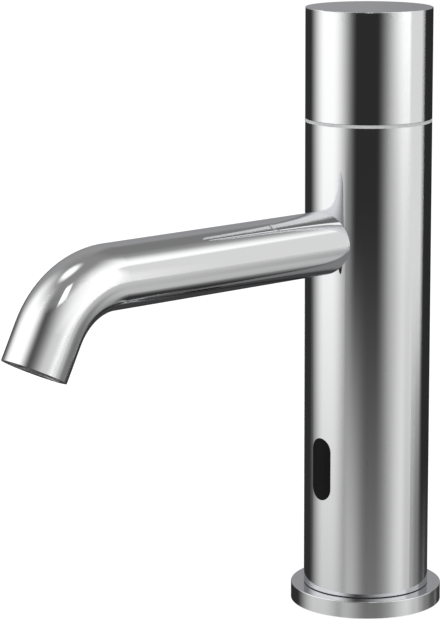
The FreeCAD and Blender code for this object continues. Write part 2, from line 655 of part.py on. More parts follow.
def column_and_flange():
    groove_inside = "Place.gasket_inner - Size.gasket_fit"
    groove_outside = "Place.gasket_outer + Size.gasket_fit"
    seat = "Place.spigot_radius + Size.flange_fit"
    flange = turned("base_flange", [
        ("Place.lip_radius", "0"),
        (groove_inside, "0"),
        (groove_inside, "Size.gasket_height"),
        (groove_outside, "Size.gasket_height"),
        (groove_outside, "0"),
        ("Place.flange_radius", "0"),
        ("Place.flange_radius", "Size.flange_height"),
        (seat, "Size.flange_height"),
        (seat, "Size.lip_height"),
        ("Place.lip_radius", "Size.lip_height"),
    ])
    node(round_rim(flange, "Place.flange_radius", "Size.flange_height", "Size.flange_edge"),
         "base_flange")
    node(ring("deck_gasket", "Place.gasket_inner", "Place.gasket_outer", "0",
              "Size.gasket_height"), "deck_gasket")
    node(ring("foot_seal", seat, "Size.body_radius - Size.foot_seal_inset",
              "Size.flange_height", "Place.column_foot"), "foot_seal")

    tube = turned("column_tube", [
        ("Place.column_bore", "Size.lip_height"),
        ("Place.spigot_radius", "Size.lip_height"),
        ("Place.spigot_radius", "Place.column_foot"),
        ("Size.body_radius", "Place.column_foot"),
        ("Size.body_radius", "Place.column_top"),
        ("Place.column_bore", "Place.column_top"),
    ])
    spout_hole = rod("spout_hole", "Place.adapter_radius + Size.braze_gap",
                     "Size.body_radius", "0", "0", "Size.spout_height", FORWARD)
    window_hole = slot("window_hole", "Size.window_width", "Size.window_height",
                       "Size.window_centre", ("-Size.body_radius - Size.cut_run", "0"))
    grub_hole = rod("column_grub_hole", "Size.column_grub_radius + Size.screw_play",
                    "Size.body_radius", "0", "0", "Size.column_grub_height", BACKWARD)
    node(less("body_column", tube, [spout_hole, window_hole, grub_hole]), "body_column")
    grub("column_grub_screw", "Size.column_grub_radius",
         "Size.body_radius - Size.grub_sink", "Size.column_grub_length",
         "Size.column_grub_height")


# ----------------------------------------------------------------------- the spout


def spout():
    start = "Size.body_radius - Size.spout_radius"
    line = spout_line("spout_centre_line", start, "0")
    outside = along("spout_outside", "Size.spout_radius", line, start)
    inside = along("spout_inside", "Place.spout_bore", line, start)
    saddle = rod("spout_saddle", "Size.body_radius + Size.braze_gap",
                 "4 * Size.spout_radius", "0", "0",
                 "Size.spout_height - 2 * Size.spout_radius")
    node(less("spout_tube", outside, [saddle, inside]), "spout_tube")


def water_way():
    """The adapter in the spout's root, the hose and the threaded sleeve at the mouth."""
    shoulder = "Place.adapter_depth"
    end = "Place.adapter_end"
    barb_end = "Place.adapter_end + Size.barb_length"
    groove_low = "Place.nose_oring_depth - Size.groove_ratio * Size.oring_radius"
    groove_high = "Place.nose_oring_depth + Size.groove_ratio * Size.oring_radius"
    groove_floor = "Place.nose_radius - 2 * Size.oring_radius"
    neck = end + " - Size.adapter_wall"
    node(turned("spout_adapter", [
        ("Size.nose_bore", "Place.nose_tip"),
        ("Place.nose_radius", "Place.nose_tip"),
        ("Place.nose_radius", groove_low),
        (groove_floor, groove_low),
        (groove_floor, groove_high),
        ("Place.nose_radius", groove_high),
        ("Place.nose_radius", shoulder),
        ("Place.adapter_radius", shoulder),
        ("Place.adapter_radius", end),
        ("Place.barb_radius", end),
        ("Place.barb_radius", barb_end),
        ("Size.barb_bore", barb_end),
        ("Size.barb_bore", neck),
        ("Size.nose_bore", neck),
    ], "0", "0", "Size.spout_height", FORWARD), "spout_adapter")
    node(torus("adapter_oring", "Place.nose_radius - Size.oring_radius + Size.oring_play",
               "Size.oring_radius", "0", "-Place.nose_oring_depth",
               "Size.spout_height", FORWARD), "adapter_oring")

    start = end + " + Size.oring_play"
    line = spout_line("hose_centre_line", start, "Place.hose_end + Size.oring_play")
    outside = along("hose_outside", "Size.hose_radius", line, start)
    inside = along("hose_inside", "Size.hose_bore", line, start)
    node(less("outlet_hose", outside, [inside]), "outlet_hose")

    back = "Place.hose_end"
    barb_end = "Place.hose_end + Size.sleeve_barb"
    node(at_mouth(turned("aerator_sleeve", [
        ("Place.thread_radius", "Place.collar_back"),
        ("Place.adapter_radius", "Place.collar_back"),
        ("Place.adapter_radius", "Place.hose_end + Size.sleeve_skirt"),
        ("Place.thread_radius", "Place.hose_end + Size.sleeve_skirt"),
        ("Place.thread_radius", back),
        ("Place.barb_radius", back),
        ("Place.barb_radius", barb_end),
        ("Size.barb_bore", barb_end),
        ("Size.barb_bore", "Place.sleeve_floor"),
        ("Place.thread_radius", "Place.sleeve_floor"),
    ])), "aerator_sleeve")


def grid_disc(name, radius, rim, low, height):
    """A round strainer: a rim with bars both ways."""
    plate = rod(name + "_plate", radius, height, "0", "0", low)
    span = (f"-({radius})", radius)
    levels = (low, f"({low}) + ({height})")
    bars = [ring(name + "_rim", f"({radius}) - ({rim})", radius, low, levels[1])]
    for count in range(-GRID_BARS, GRID_BARS + 1):
        middle = f"{count} * Size.grid_pitch"
        width = (f"{middle} - Size.grid_bar / 2", f"{middle} + Size.grid_bar / 2")
        bars.append(brick(f"{name}_bar_x_{count + GRID_BARS}", width, span, levels))
        bars.append(brick(f"{name}_bar_y_{count + GRID_BARS}", span, width, levels))
    return shared(name, plate, joined(name + "_bars", bars))


def aerator():
    """The aerator's shell, strainer and seal, screwed into the sleeve."""
    face = "Size.aerator_recess"
    back = "Place.aerator_back"
    inside = "Place.aerator_radius - Size.aerator_wall"
    throat = "Place.aerator_radius - 2 * Size.aerator_wall"
    screen = "Size.aerator_recess + Size.screen_depth"
    ledge = screen + " + Size.screen_height"
    shell = turned("aerator_shell", [
        (inside, face),
        ("Place.adapter_radius", face),
        ("Place.adapter_radius", "Place.collar_back"),
        ("Place.aerator_radius", "Place.collar_back"),
        ("Place.aerator_radius", back),
        (throat, back),
        (throat, ledge),
        (inside, ledge),
    ])
    wide = ("-Place.spout_bore", "Place.spout_bore")
    narrow = ("-Size.key_width / 2", "Size.key_width / 2")
    deep = ("0", "Size.aerator_recess + Size.key_depth")
    keys = [brick("aerator_key_x", wide, narrow, deep),
            brick("aerator_key_y", narrow, wide, deep)]
    node(at_mouth(less("aerator_housing", shell, keys)), "aerator_housing")
    node(at_mouth(grid_disc("aerator_screen", inside + " - Size.screw_play",
                            "Size.grid_rim", screen, "Size.screen_height")),
         "aerator_screen")
    node(at_mouth(ring("aerator_seal", throat, "Place.aerator_radius", back,
                       "Place.sleeve_floor")), "aerator_seal")


# ----------------------------------------------------------- base block and risers


SIDES = (("hot", "-"), ("cold", ""))


def riser_socket(name, x, low, high, oring_height):
    """The tools that sink a water tube's socket and its O-ring groove into a block."""
    return [
        rod(name, "Place.socket_radius", f"{high} - ({low})", x, "Place.riser_y", low),
        rod(name + "_groove", "Place.oring_ring + Size.oring_radius + Size.oring_play",
            "2 * Size.groove_ratio * Size.oring_radius", x, "Place.riser_y",
            f"{oring_height} - Size.groove_ratio * Size.oring_radius"),
    ]


def base_block():
    low = "Size.lip_height"
    top = "Place.base_block_top"
    groove_half = "Size.groove_ratio * Size.base_oring_radius"
    tools = [
        rod("gland_hole", "Size.gland_radius", "Size.base_block_height",
            "0", "Place.gland_y", low),
        rod("column_grub_thread", "Size.column_grub_radius + Size.screw_play",
            "Size.body_radius", "0", "Place.column_grub_tip",
            "Size.column_grub_height", BACKWARD),
        rod("bracket_thread", "Size.bracket_screw_radius + Size.screw_play",
            "Size.bracket_screw_length", "0", "Place.bracket_screw_y",
            top + " - Size.bracket_screw_length"),
        ring("base_oring_groove", "Place.block_radius - 2 * Size.base_oring_radius",
             "Size.body_radius", f"Place.base_oring_height - {groove_half}",
             f"Place.base_oring_height + {groove_half}"),
    ]
    for side, sign in SIDES:
        x = sign + "Size.riser_x"
        tools += riser_socket(f"riser_socket_{side}", x, "Place.riser_foot", top,
                              "Place.lower_oring_height")
        tools += [
            rod(f"inlet_{side}", "Size.inlet_radius", "Size.inlet_depth",
                x, "Place.riser_y", low),
            rod(f"inlet_neck_{side}", "Size.riser_bore", "Size.base_block_height",
                x, "Place.riser_y", low),
            rod(f"filter_seat_{side}", "Place.filter_radius + Size.screw_play",
                "Size.filter_height", x, "Place.riser_y", "Place.inlet_top"),
            rod(f"stud_hole_{side}", "Size.stud_radius", "Size.stud_depth",
                sign + "Size.stud_x", "Size.stud_y", low),
        ]
    blank = rod("base_blank", "Place.block_radius", "Size.base_block_height", "0", "0", low)
    node(less("base_block", blank, tools), "base_block")
    node(torus("base_oring", "Place.column_bore - Size.oring_play - Size.base_oring_radius",
               "Size.base_oring_radius", "0", "0", "Place.base_oring_height"),
         "base_oring")


def risers():
    """The hot and cold water tubes with their strainers and O-rings."""
    orings = []
    for side, sign in SIDES:
        x = sign + "Size.riser_x"
        node(ring(f"{side}_riser", "Size.riser_bore", "Size.riser_radius",
                  "Place.riser_foot", "Place.riser_head", x=x, y="Place.riser_y"),
             f"{side}_riser")
        strainer = grid_disc(f"inlet_filter_{side}", "Place.filter_radius",
                             "Size.grid_rim", "0", "Size.filter_height")
        put(strainer, x, "Place.riser_y", "Place.inlet_top")
        node(strainer, f"inlet_filter_{side}")
        for level in ("lower", "upper"):
            orings.append(torus(f"{level}_oring_{side}", "Place.oring_ring",
                                "Size.oring_radius", x, "Place.riser_y",
                                f"Place.{level}_oring_height"))
    node(together("riser_orings", orings), "riser_orings")


def cable_gland():
    node(turned("cable_gland", [
        ("Size.lead_radius + Size.screw_play", "Size.lip_height"),
        ("Size.gland_radius - Size.screw_play", "Size.lip_height"),
        ("Size.gland_radius - Size.screw_play", "Place.base_block_top"),
        ("Size.gland_collar", "Place.base_block_top"),
        ("Size.gland_collar", "Place.base_block_top + Size.collar_height"),
        ("Size.lead_radius + Size.screw_play",
         "Place.base_block_top + Size.collar_height"),
    ], y="Place.gland_y"), "cable_gland")
    node(rod("sensor_lead", "Size.lead_radius", "Place.housing_bottom - Size.lip_height",
             "0", "Place.gland_y", "Size.lip_height"), "sensor_lead")
    node(rod("solenoid_lead", "Size.coil_lead_radius",
             "Place.case_bottom - Place.housing_top", "0", "Place.gland_y",
             "Place.housing_top"), "solenoid_lead")


# ------------------------------------------------------------------ sensor module


def sensor_window():
    """The dark window, flush in the column, with a rim behind the wall."""
    low = "Place.window_bottom - 2 * Size.window_rim"
    tall = "Size.window_height + 4 * Size.window_rim"
    play = "2 * Size.window_fit"
    rim = "2 * Size.window_rim"
    reach = "-Size.body_radius"
    back = "-Place.housing_front"
    face = shared(
        "window_face",
        slot("window_pane", f"Size.window_width - {play}", f"Size.window_height - {play}",
             "Size.window_centre", (reach, back)),
        rod("window_outside", "Size.body_radius - Size.window_fit", tall, "0", "0", low),
    )
    collar = shared(
        "window_collar",
        slot("window_flange", f"Size.window_width + {rim}", f"Size.window_height + {rim}",
             "Size.window_centre", (reach, back)),
        rod("window_seat", "Place.rim_radius", tall, "0", "0", low),
    )
    solid = joined("window_solid", [face, collar])
    hollow = rod("window_hollow", "Place.rim_inside", tall, "0", "0", low)
    node(less("sensor_window", solid, [hollow]), "sensor_window")

    frame = less(
        "gasket_frame",
        slot("gasket_outside", f"Size.window_width + {rim}", f"Size.window_height + {rim}",
             "Size.window_centre", (reach, back)),
        [slot("gasket_inside", "Size.window_width", "Size.window_height",
              "Size.window_centre", (reach, back + " + Size.cut_run"))],
    )
    bound = rod("gasket_bound", "Place.rim_inside - Size.screw_play", tall, "0", "0", low)
    node(shared("window_gasket", frame, bound), "window_gasket")


def screw_places():
    """Heights of the two sensor screws."""
    return [f"Size.window_centre {sign} Place.screw_rise" for sign in "+-"]


def sensor_housing():
    """The housing behind the window with its board, its two diodes and its cover."""
    outer = ("-Size.housing_width / 2", "Size.housing_width / 2")
    tall = ("Place.housing_bottom", "Place.housing_top")
    inner = ("-Place.board_half", "Place.board_half")
    deep = ("Place.housing_bottom + Size.housing_end", "Place.housing_top - Size.housing_end")
    ledge = "Size.board_ledge"
    shell = brick("housing_shell", outer, ("-Place.housing_front", "-Place.housing_back"), tall)
    tools = [
        brick("housing_wide", inner, ("-Place.board_depth", "-Place.housing_back"), deep),
        brick("housing_narrow", (f"{inner[0]} + {ledge}", f"{inner[1]} - {ledge}"),
              ("-Place.housing_front + Size.housing_wall", "-Place.board_depth"),
              (f"{deep[0]} + {ledge}", f"{deep[1]} - {ledge}")),
    ]
    diodes = (("ir_emitter", "+"), ("ir_receiver", "-"))
    for name, sign in diodes:
        height = f"Size.window_centre {sign} Size.led_spacing / 2"
        tools.append(rod(name + "_hole", "Size.led_radius + Size.board_fit",
                         "Place.housing_front", "0", "-Place.board_depth", height, FORWARD))
        node(turned(name, [
            ("0", "0"),
            ("Size.led_radius", "0"),
            ("Size.led_radius", "Size.led_length - Size.led_radius / 2"),
            ("Size.led_radius / 2", "Size.led_length"),
            ("0", "Size.led_length"),
        ], "0", "-Place.board_depth", height, FORWARD), name)
    for count, height in enumerate(screw_places()):
        tools.append(rod(f"housing_thread_{count}", "Place.sensor_hole",
                         "Size.sensor_screw_length", "0", "-Place.housing_back",
                         height, FORWARD))
    node(less("sensor_housing", shell, tools), "sensor_housing")

    play = "Size.board_fit"
    node(brick("sensor_board", (f"{inner[0]} + {play}", f"{inner[1]} - {play}"),
               ("-Place.board_depth", "-Place.board_depth + Size.board_height"),
               (f"{deep[0]} + {play}", f"{deep[1]} - {play}")), "sensor_board")

    lid = brick("cover_plate", outer, ("-Place.housing_back", "-Place.cover_back"), tall)
    node(less("sensor_cover", lid, screw_holes("cover")), "sensor_cover")


def screw_holes(name):
    """Clearance holes for the sensor screws through the cover and the bracket."""
    return [
        rod(f"{name}_hole_{count}", "Place.sensor_hole", "Place.housing_back",
            "0", "0", height, FORWARD)
        for count, height in enumerate(screw_places())
    ]


def sensor_bracket():
    """The angle that holds the housing on the base block, and its screws."""
    wide = ("-Size.bracket_width / 2", "Size.bracket_width / 2")
    top = "Place.base_block_top"
    upright = brick("bracket_upright", wide, ("-Place.cover_back", "-Place.bracket_back"),
                    (top, "Place.housing_top"))
    foot = brick("bracket_foot_plate", wide,
                 ("-Place.cover_back", "Size.bracket_foot - Place.cover_back"),
                 (top, top + " + Size.bracket_sheet"))
    hole = rod("bracket_foot_hole", "Size.bracket_screw_radius + Size.screw_play",
               "2 * Size.bracket_sheet", "0", "Place.bracket_screw_y", top)
    angle = joined("bracket_angle", [upright, foot])
    node(less("sensor_bracket", angle, screw_holes("bracket") + [hole]), "sensor_bracket")
    node(together("sensor_screws", [
        pan_screw(f"sensor_screw_{count}", "Size.sensor_screw_radius",
                  "Size.sensor_screw_length", "Size.screw_head_height",
                  "0", "-Place.bracket_back", height, FORWARD)
        for count, height in enumerate(screw_places())
    ]), "sensor_screws")
    node(pan_screw("bracket_screw", "Size.bracket_screw_radius",
                   "Size.bracket_screw_length", "Size.screw_head_height",
                   "0", "Place.bracket_screw_y", top + " + Size.bracket_sheet", DOWN),
         "bracket_screw")


# -------------------------------------------------------------------- valve block


def valve_block():
    """The block that carries the cartridge above and the solenoid valve below."""
    low = "Place.valve_block_bottom"
    floor = "Place.cup_floor"
    chamber_top = low + " + Size.chamber_depth"
    mixed_start = low + " + Size.chamber_depth / 2"
    play = "Size.block_fit"
    tools = [
        rod("cup", "Place.cup_radius", "Place.column_top", "0", "0", floor),
        rod("mixed_channel", "Size.mixed_radius", f"Place.column_top - ({mixed_start})",
            "0", "Place.mixed_y", mixed_start),
        ring("inlet_chamber", "Place.seat_outside", "Size.chamber_radius", low, chamber_top,
             y="Place.valve_y"),
        rod("outlet_bore", "Size.seat_bore", "Size.spout_height - Place.valve_block_bottom",
            "0", "Place.valve_y", low),
        rod("adapter_pocket", "Place.adapter_radius + Size.sleeve_fit", "Size.body_radius",
            "0", f"-Place.adapter_depth + {play}", "Size.spout_height", FORWARD),
        rod("nose_socket", "Place.nose_radius + Size.block_fit", "Size.body_radius",
            "0", "-Place.nose_tip + Size.nose_play", "Size.spout_height", FORWARD),
        rod("nose_water", "Size.nose_bore", "Size.body_radius", "0", "Place.valve_y",
            "Size.spout_height", FORWARD),
    ]
    for side, sign in SIDES:
        tools += riser_socket(f"upper_socket_{side}", sign + "Size.riser_x", low,
                              "Place.riser_head", "Place.upper_oring_height")
        feed_start = "Place.riser_head - Size.feed_overlap"
        tools.append(rod(f"feed_{side}", "Size.feed_radius",
                         f"Place.column_top - ({feed_start})", sign + "Size.feed_x",
                         "Place.feed_y", feed_start))
        tools.append(rod(f"valve_thread_{side}", "Size.valve_screw_radius + Size.screw_play",
                         "Size.valve_screw_length", sign + "Place.ear_x", "Place.valve_y",
                         low))
    blank = rod("valve_blank", "Place.block_radius", f"Place.cup_top - {low}", "0", "0", low)
    node(less("valve_block", blank, tools), "valve_block")


# ---------------------------------------------------------------------- cartridge


def ports():
    """Each water port of the cartridge: its name, place and radius."""
    return [
        ("hot", "-Size.feed_x", "Place.feed_y", "Size.feed_radius"),
        ("cold", "Size.feed_x", "Place.feed_y", "Size.feed_radius"),
        ("mixed", "0", "Place.mixed_y", "Size.mixed_radius"),
    ]


def cartridge_foot():
    """The cartridge's base with its port seals, and the two ceramic discs."""
    low = "Place.cup_floor"
    step = "Place.cartridge_bore - Size.cartridge_fit"
    blank = turned("foot_blank", [
        ("0", low),
        ("Place.cartridge_radius", low),
        ("Place.cartridge_radius", "Place.housing_foot"),
        (step, "Place.housing_foot"),
        (step, "Place.lower_disc_foot"),
        ("0", "Place.lower_disc_foot"),
    ])
    tools = []
    disc_tools = []
    seals = []
    for name, x, y, radius in ports():
        seal_radius = f"{radius} + Size.port_seal_wall"
        tools += [
            rod(f"foot_port_{name}", radius, "Place.column_top", x, y, low),
            rod(f"seal_seat_{name}", seal_radius + " + Size.seal_play",
                "Size.port_seal_height", x, y, low),
        ]
        disc_tools.append(rod(f"disc_port_{name}", radius, "Place.column_top", x, y, low))
        seals.append(ring(f"port_seal_{name}", radius, seal_radius, "0",
                          "Size.port_seal_height", x=x, y=y, z=low))
    node(less("cartridge_foot", blank, tools), "cartridge_foot")
    node(together("port_seals", seals), "port_seals")
    lower = rod("lower_blank", "Place.lower_disc_radius", "Size.disc_height",
                "0", "0", "Place.lower_disc_foot")
    node(less("lower_disc", lower, disc_tools), "lower_disc")
    upper = rod("upper_blank", "Place.upper_disc_radius", "Size.disc_height",
                "0", "0", "Place.upper_disc_foot")
    pocket = rod("mix_pocket", "Size.mix_radius", "Size.mix_depth", "0", "Size.mix_y",
                 "Place.upper_disc_foot")
    node(less("upper_disc", upper, [pocket]), "upper_disc")


def cartridge_housing():
    """The cartridge's housing, its O-ring and thrust washer, the nut and stop ring."""
    groove = "Size.stem_radius + 2 * Size.stem_oring_radius + 2 * Size.oring_play"
    middle = "Place.cartridge_top + Size.stem_oring_rise"
    half = "Size.groove_ratio * Size.stem_oring_radius"
    node(turned("cartridge_housing", [
        ("Place.cartridge_bore", "Place.housing_foot"),
        ("Place.cartridge_radius", "Place.housing_foot"),
        ("Place.cartridge_radius", "Place.cartridge_top"),
        ("Size.neck_radius", "Place.cartridge_top"),
        ("Size.neck_radius", "Place.neck_top"),
        ("Place.stem_bore", "Place.neck_top"),
        ("Place.stem_bore", f"{middle} + {half}"),
        (groove, f"{middle} + {half}"),
        (groove, f"{middle} - {half}"),
        ("Place.stem_bore", f"{middle} - {half}"),
        ("Place.stem_bore", "Place.cartridge_ceiling"),
        ("Place.cartridge_bore", "Place.cartridge_ceiling"),
    ]), "cartridge_housing")
    node(torus("stem_oring", "Size.stem_radius + Size.oring_play + Size.stem_oring_radius",
               "Size.stem_oring_radius", "0", "0", middle), "stem_oring")
    node(ring("thrust_washer", "Place.stem_bore", "Place.upper_disc_radius",
              "Place.washer_foot", "Place.cartridge_ceiling"), "thrust_washer")

    nut = ring("nut_ring", "Size.neck_radius + Size.nut_gap", "Place.cartridge_radius",
               "Place.cartridge_top", "Place.nut_top")
    span = ("-Place.cup_radius", "Place.cup_radius")
    width = ("-Size.nut_slot / 2", "Size.nut_slot / 2")
    levels = ("Place.nut_top - Size.nut_height / 2", "Place.nut_top + Size.cut_run")
    slots = [brick("nut_slot_x", span, width, levels),
             brick("nut_slot_y", width, span, levels)]
    node(less("cartridge_nut", nut, slots), "cartridge_nut")

    stop_outside = "Size.neck_radius + Size.cartridge_fit + Size.stop_wall"
    stop_levels = ("Place.nut_top", "Place.nut_top + Size.stop_height")
    band = ring("stop_band", "Size.neck_radius + Size.cartridge_fit", stop_outside,
                *stop_levels)
    lug = brick("stop_lug", ("-Size.stop_lug / 2", "Size.stop_lug / 2"),
                (stop_outside + " - Size.stop_wall / 2",
                 stop_outside + " + Size.stop_reach"), stop_levels)
    node(joined("stop_ring", [band, lug]), "stop_ring")


def cartridge_stem():
    """The turning stem: a disc inside the cartridge and a shaft with two flats."""
    blank = turned("stem_blank", [
        ("0", "Place.stem_foot"),
        ("Place.upper_disc_radius", "Place.stem_foot"),
        ("Place.upper_disc_radius", "Place.stem_disc_top"),
        ("Size.stem_radius", "Place.stem_disc_top"),
        ("Size.stem_radius", "Place.stem_top"),
        ("0", "Place.stem_top"),
    ])
    span = ("-Size.stem_radius", "Size.stem_radius")
    levels = ("Place.hub_bottom - Size.stem_flat_run", "Place.stem_top")
    tools = [
        brick("stem_flat_back", span, ("Size.stem_flat", "2 * Size.stem_radius"), levels),
        brick("stem_flat_front", span, ("-2 * Size.stem_radius", "-Size.stem_flat"), levels),
        rod("stem_thread", "Size.carrier_screw_radius + Size.screw_play",
            "Size.carrier_screw_length", "0", "0",
            "Place.web_top - Size.carrier_screw_length - Size.head_gap"),
    ]
    node(less("cartridge_stem", blank, tools), "cartridge_stem")


# --------------------------------------------------------------------------- head


def head():
    """The glide ring, the head shell, its carrier and their screws."""
    node(turned("glide_ring", [
        ("Place.ring_bore", "Place.column_top - Size.ring_collar"),
        ("Place.block_radius", "Place.column_top - Size.ring_collar"),
        ("Place.block_radius", "Place.column_top"),
        ("Size.body_radius", "Place.column_top"),
        ("Size.body_radius", "Place.ring_top"),
        ("Place.ring_bore", "Place.ring_top"),
    ]), "glide_ring")

    shell = turned("shell_blank", [
        ("0", "Place.head_ceiling"),
        ("Place.head_bore", "Place.head_ceiling"),
        ("Place.head_bore", "Place.head_bottom"),
        ("Size.body_radius", "Place.head_bottom"),
        ("Size.body_radius", "Place.tap_height"),
        ("0", "Place.tap_height"),
    ])
    round_rim(shell, "Size.body_radius", "Place.tap_height", "Size.head_edge")
    holes = [
        rod(name, "Size.head_grub_radius + Size.screw_play", "Size.body_radius",
            "0", "0", "Place.head_grub_height", BACKWARD)
        for name in ("shell_grub_hole", "carrier_grub_hole")
    ]
    node(less("head_shell", shell, holes[:1]), "head_shell")

    skirt_inside = "Place.skirt_radius - Size.skirt_wall"
    blank = turned("carrier_blank", [
        ("0", "Place.hub_bottom"),
        ("Size.hub_radius", "Place.hub_bottom"),
        ("Size.hub_radius", "Place.web_bottom"),
        (skirt_inside, "Place.web_bottom"),
        (skirt_inside, "Place.skirt_bottom"),
        ("Place.skirt_radius", "Place.skirt_bottom"),
        ("Place.skirt_radius", "Place.head_ceiling"),
        (skirt_inside, "Place.head_ceiling"),
        (skirt_inside, "Place.web_top"),
        ("0", "Place.web_top"),
    ])
    flat = "Size.stem_flat + Size.spline_fit"
    levels = ("Place.hub_bottom", "Place.web_bottom")
    bore = shared(
        "spline_bore",
        rod("spline_round", "Size.stem_radius + Size.spline_fit", "Size.hub_drop",
            "0", "0", "Place.hub_bottom"),
        brick("spline_flats", ("-Size.hub_radius", "Size.hub_radius"),
              (f"-({flat})", flat), levels),
    )
    screw_hole = rod("carrier_screw_hole", "Size.carrier_screw_radius + Size.screw_play",
                     "Place.tap_height", "0", "0", "Place.hub_bottom")
    node(less("head_carrier", blank, [bore, screw_hole, holes[1]]), "head_carrier")
    grub("head_grub_screw", "Size.head_grub_radius", "Size.body_radius - Size.grub_sink",
         "Size.head_grub_length", "Place.head_grub_height")
    node(pan_screw("carrier_screw", "Size.carrier_screw_radius",
                   "Size.carrier_screw_length", "Size.carrier_head_height",
                   "0", "0", "Place.web_top", DOWN), "carrier_screw")


# ----------------------------------------------------------------- solenoid valve


def on_valve(name, profile):
    """A body turned about the valve's axis."""
    return turned(name, profile, y="Place.valve_y")


def diaphragm():
    rim = "Size.chamber_radius + Size.coil_fit"
    inner = "Size.core_radius + Size.oring_play"
    face = "Place.valve_block_bottom"
    skin_low = "Place.core_bottom + (Size.core_height - Size.membrane_skin) / 2"
    skin_high = skin_low + " + Size.membrane_skin"
    node(on_valve("diaphragm_membrane", [
        (inner, skin_low),
        (rim, skin_low),
        (rim, "Place.flange_face"),
        ("Place.valve_flange", "Place.flange_face"),
        ("Place.valve_flange", face),
        (rim, face),
        (rim, skin_high),
        (inner, skin_high),
    ]), "diaphragm_membrane")
    node(ring("diaphragm_core", "Size.pilot_radius", "Size.core_radius",
              "Place.core_bottom", face, y="Place.valve_y"), "diaphragm_core")


def solenoid_body():
    """The plastic body with the plunger's guide tube and two screw ears."""
    face = "Place.flange_face"
    blank = on_valve("valve_body_blank", [
        ("0", "Place.guide_bottom"),
        ("Place.guide_radius", "Place.guide_bottom"),
        ("Place.guide_radius", "Place.valve_flange_bottom"),
        ("Place.valve_flange", "Place.valve_flange_bottom"),
        ("Place.valve_flange", face),
        ("0", face),
    ])
    reach = "Place.ear_x + Size.ear_half_width"
    ears = brick("valve_ears", (f"-({reach})", reach),
                 ("Place.valve_y - Size.ear_half_width", "Place.valve_y + Size.ear_half_width"),
                 (face + " - Size.ear_height", face))
    tools = [
        rod("pilot_chamber", "Size.chamber_radius", "Size.pilot_chamber", "0",
            "Place.valve_y", "Place.chamber_floor"),
        rod("guide_hole", "Size.guide_bore", f"{face} - Place.guide_inside", "0",
            "Place.valve_y", "Place.guide_inside"),
    ]
    screws = []
    for side, sign in SIDES:
        tools.append(rod(f"ear_hole_{side}", "Size.valve_screw_radius + Size.screw_play",
                         "Size.ear_height + 2 * Size.cut_run", sign + "Place.ear_x",
                         "Place.valve_y", face + " - Size.ear_height - Size.cut_run"))
        screws.append(pan_screw(f"valve_screw_{side}", "Size.valve_screw_radius",
                                "Size.valve_screw_length", "Size.screw_head_height",
                                sign + "Place.ear_x", "Place.valve_y",
                                face + " - Size.ear_height"))
    body = joined("valve_body_eared", [blank, ears])
    node(less("solenoid_body", body, tools), "solenoid_body")
    node(together("solenoid_screws", screws), "solenoid_screws")


def plunger():
    """The plunger with its pad, the fixed pole and the return spring between them."""
    radius = "Size.guide_bore - Size.plunger_fit"
    pocket_top = "Place.plunger_bottom + Size.pocket_depth"
    node(on_valve("plunger", [
        ("Size.pocket_radius", "Place.plunger_bottom"),
        (radius, "Place.plunger_bottom"),
        (radius, "Place.plunger_top"),
        ("0", "Place.plunger_top"),
        ("0", pocket_top),
        ("Size.pocket_radius", pocket_top),
    ]), "plunger")
    node(rod("plunger_pad", "Size.pad_radius", "Size.plunger_pad", "0", "Place.valve_y",
             "Place.plunger_top"), "plunger_pad")
    node(rod("pole_piece", radius, "Size.pole_height", "0", "Place.valve_y",
             "Place.guide_inside"), "pole_piece")

    length = f"{pocket_top} - Place.pole_top - 2 * Size.spring_wire"
    helix = doc.addObject("Part::Helix", "spring_line")
    bind(helix, Radius="Size.spring_radius", Height=length,
         Pitch=f"({length}) / Size.spring_turns")
    wire = doc.addObject("Part::Circle", "spring_section")
    bind(wire, Radius="Size.spring_wire")
    put(wire, "Size.spring_radius", "0", "0", FORWARD)
    coil = doc.addObject("Part::Sweep", "spring_coil")
    coil.Sections = [wire]
    coil.Spine = (helix, [])
    coil.Solid = True
    coil.Frenet = True
    put(coil, "0", "Place.valve_y", "Place.pole_top + Size.spring_wire")
    node(coil, "plunger_spring")


def coil():
    """The bobbin, its winding and the steel case."""
    inner = "Place.guide_radius + Size.coil_fit"
    low = "Place.guide_bottom"
    high = "Place.valve_flange_bottom - Size.coil_fit"
    low_flange = low + " + Size.bobbin_flange"
    high_flange = high + " - Size.bobbin_flange"
    node(on_valve("coil_bobbin", [
        (inner, low),
        ("Place.bobbin_radius", low),
        ("Place.bobbin_radius", low_flange),
        ("Place.coil_inside", low_flange),
        ("Place.coil_inside", high_flange),
        ("Place.bobbin_radius", high_flange),
        ("Place.bobbin_radius", high),
        (inner, high),
    ]), "coil_bobbin")
    node(ring("coil_winding", "Place.coil_inside + Size.oring_play", "Place.coil_radius",
              low_flange, high_flange, y="Place.valve_y"), "coil_winding")
    wall = "Size.case_radius - Size.case_wall"
    node(on_valve("coil_case", [
        ("0", "Place.case_bottom"),
        ("Size.case_radius", "Place.case_bottom"),
        ("Size.case_radius", "Place.valve_flange_bottom"),
        (wall, "Place.valve_flange_bottom"),
        (wall, low),
        ("0", low),
    ]), "coil_case")


def check_and_write():
    """Stops on a failed object or an unsound shape, then writes one file per node."""
    doc.recompute()
    failed = [o.Name for o in doc.Objects if {"Invalid", "Error"} & set(o.State)]
    if failed:
        raise SystemExit("failed objects: " + ", ".join(failed))
    for thing in nodes:
        shape = thing.Shape
        if shape.isNull() or not shape.isValid() or not shape.Solids:
            raise SystemExit("unsound shape: " + thing.Label)
    os.makedirs("parts", exist_ok=True)
    for thing in nodes:
        thing.Shape.exportStep(f"parts/{thing.Label}.step")
        box = thing.Shape.BoundBox
        print(f"{thing.Label}: {len(thing.Shape.Solids)} solid, {thing.Shape.Volume:.1f} mm3,"
              f" z {box.ZMin:.2f} to {box.ZMax:.2f}")
    print(f"{len(nodes)} nodes")


